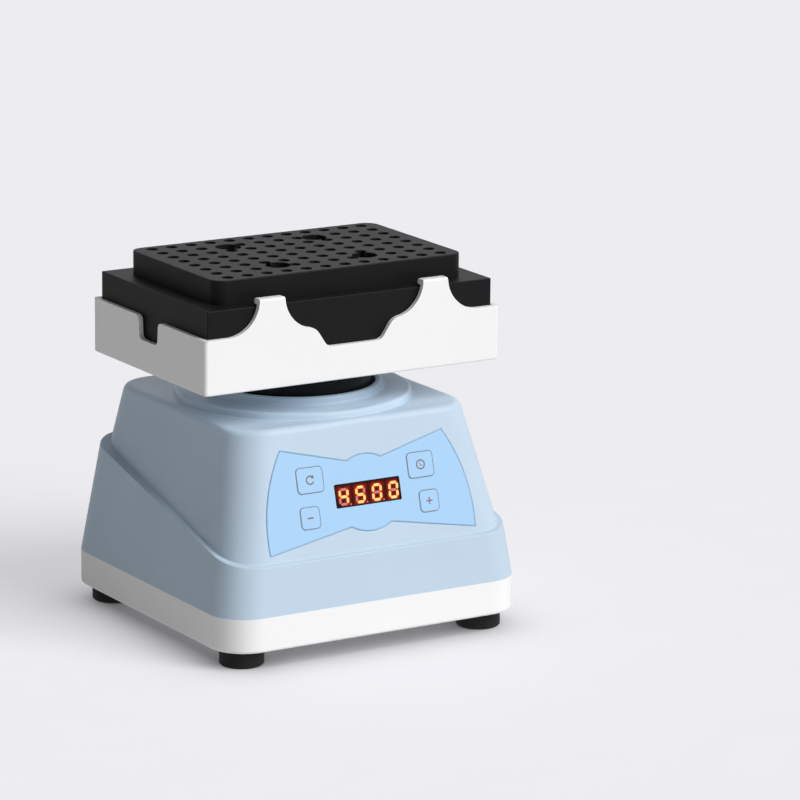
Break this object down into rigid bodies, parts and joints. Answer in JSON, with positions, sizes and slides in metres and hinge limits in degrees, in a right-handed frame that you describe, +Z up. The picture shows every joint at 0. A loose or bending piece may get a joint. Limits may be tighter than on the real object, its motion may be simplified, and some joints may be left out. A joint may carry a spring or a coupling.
{
  "type": "multi-tube vortex mixer",
  "caption": "Bench mixer with a leaning housing, front key panel with display, and an orbiting tray that carries a rack for small tubes.",
  "frame": {"origin": "on the desk under the middle of the base", "axes": "+Z up, -Y towards the user at the control panel, +X to the user's right"},
  "size_m": [0.135, 0.132, 0.1474],
  "materials": {
    "rubber": "matte black rubber",
    "screw_steel": "zinc plated",
    "white_plastic": "satin moulded",
    "blue_plastic": "satin moulded, light blue",
    "panel_film": "satin printed film, sky blue",
    "key_film": "satin, sky blue with a printed outline",
    "display_window": "dark red, glossy",
    "black_plastic": "satin moulded, black",
    "black_rack": "matte black, fine texture",
    "rocker_plastic": "satin black",
    "circuit_board": "green solder mask",
    "steel": "zinc plated",
    "aluminium": "as machined",
    "bearing_steel": "ground",
    "magnet": "ferrite grey",
    "nylon": "natural nylon"
  },
  "bodies": {
    "base": {"ballast_plate": "steel", "base_pan": "white_plastic", "base_screws": "screw_steel", "control_board": "circuit_board", "control_board_screws": "screw_steel", "control_overlay": "panel_film", "display_lens": "display_window", "display_module": "black_plastic", "driver_board": "circuit_board", "driver_parts": "black_plastic", "driver_standoffs": "nylon", "foot_front_left": "rubber", "foot_front_right": "rubber", "foot_rear_left": "rubber", "foot_rear_right": "rubber", "foot_screw_front_left": "screw_steel", "foot_screw_front_right": "screw_steel", "foot_screw_rear_left": "screw_steel", "foot_screw_rear_right": "screw_steel", "housing_shell": "blue_plastic", "motor_bearing_lower": "bearing_steel", "motor_bearing_upper": "bearing_steel", "motor_can": "steel", "motor_plate": "aluminium", "motor_plate_screws": "screw_steel", "motor_screws": "screw_steel", "motor_stator": "steel", "pillar_front_left": "aluminium", "pillar_front_right": "aluminium", "pillar_rear_left": "aluminium", "pillar_rear_right": "aluminium", "power_socket": "black_plastic", "power_socket_pin": "bearing_steel", "press_switch_cycle": "black_plastic", "press_switch_minus": "black_plastic", "press_switch_plus": "black_plastic", "press_switch_timer": "black_plastic", "support_columns": "rubber", "switch_frame": "black_plastic"},
    "rotor": {"motor_shaft": "bearing_steel", "motor_magnet": "magnet", "eccentric_hub": "steel", "hub_set_screw": "screw_steel", "crank_pin_screw": "screw_steel"},
    "head": {"head_bearing": "bearing_steel", "head_circlip": "bearing_steel", "drive_drum": "black_plastic", "platform_tray": "white_plastic", "tray_screw_front_left": "screw_steel", "tray_screw_front_right": "screw_steel", "tray_screw_rear_left": "screw_steel", "tray_screw_rear_right": "screw_steel"},
    "rack": {"rack_base": "black_rack", "rack_top": "black_rack"},
    "cycle_key": {"key_cycle": "key_film"},
    "timer_key": {"key_timer": "key_film"},
    "minus_key": {"key_minus": "key_film"},
    "plus_key": {"key_plus": "key_film"},
    "power_rocker": {"switch_rocker": "rocker_plastic"}
  },
  "joints": [
    {"name": "rotor_spin", "type": "hinge", "parent": "base", "child": "rotor", "pos_m": [0, 0.002, 0.0725], "axis": [0, 0, 1], "continuous": true, "deforming": ["support_columns"]},
    {"name": "head_orbit", "type": "hinge", "parent": "rotor", "child": "head", "pos_m": [0, 0, 0.0893], "axis": [0, 0, 1], "continuous": true},
    {"name": "rack_lift", "type": "slide", "parent": "head", "child": "rack", "axis": [0, 0, 1], "range_m": [0, 0.045]},
    {"name": "cycle_key_press", "type": "slide", "parent": "base", "child": "cycle_key", "axis": [0, 0.9631, -0.2693], "range_m": [0, 0.0005], "stiffness_N_per_m": 3000},
    {"name": "timer_key_press", "type": "slide", "parent": "base", "child": "timer_key", "axis": [0, 0.9631, -0.2693], "range_m": [0, 0.0005], "stiffness_N_per_m": 3000},
    {"name": "minus_key_press", "type": "slide", "parent": "base", "child": "minus_key", "axis": [0, 0.9631, -0.2693], "range_m": [0, 0.0005], "stiffness_N_per_m": 3000},
    {"name": "plus_key_press", "type": "slide", "parent": "base", "child": "plus_key", "axis": [0, 0.9631, -0.2693], "range_m": [0, 0.0005], "stiffness_N_per_m": 3000},
    {"name": "power_rocker_tilt", "type": "hinge", "parent": "base", "child": "power_rocker", "pos_m": [-0.011, 0.0546, 0.0422], "axis": [-1, 0, 0], "range_deg": [0, 20]}
  ],
  "couplings": [
    {"joint": "head_orbit", "follows": "rotor_spin", "ratio": -1}
  ]
}
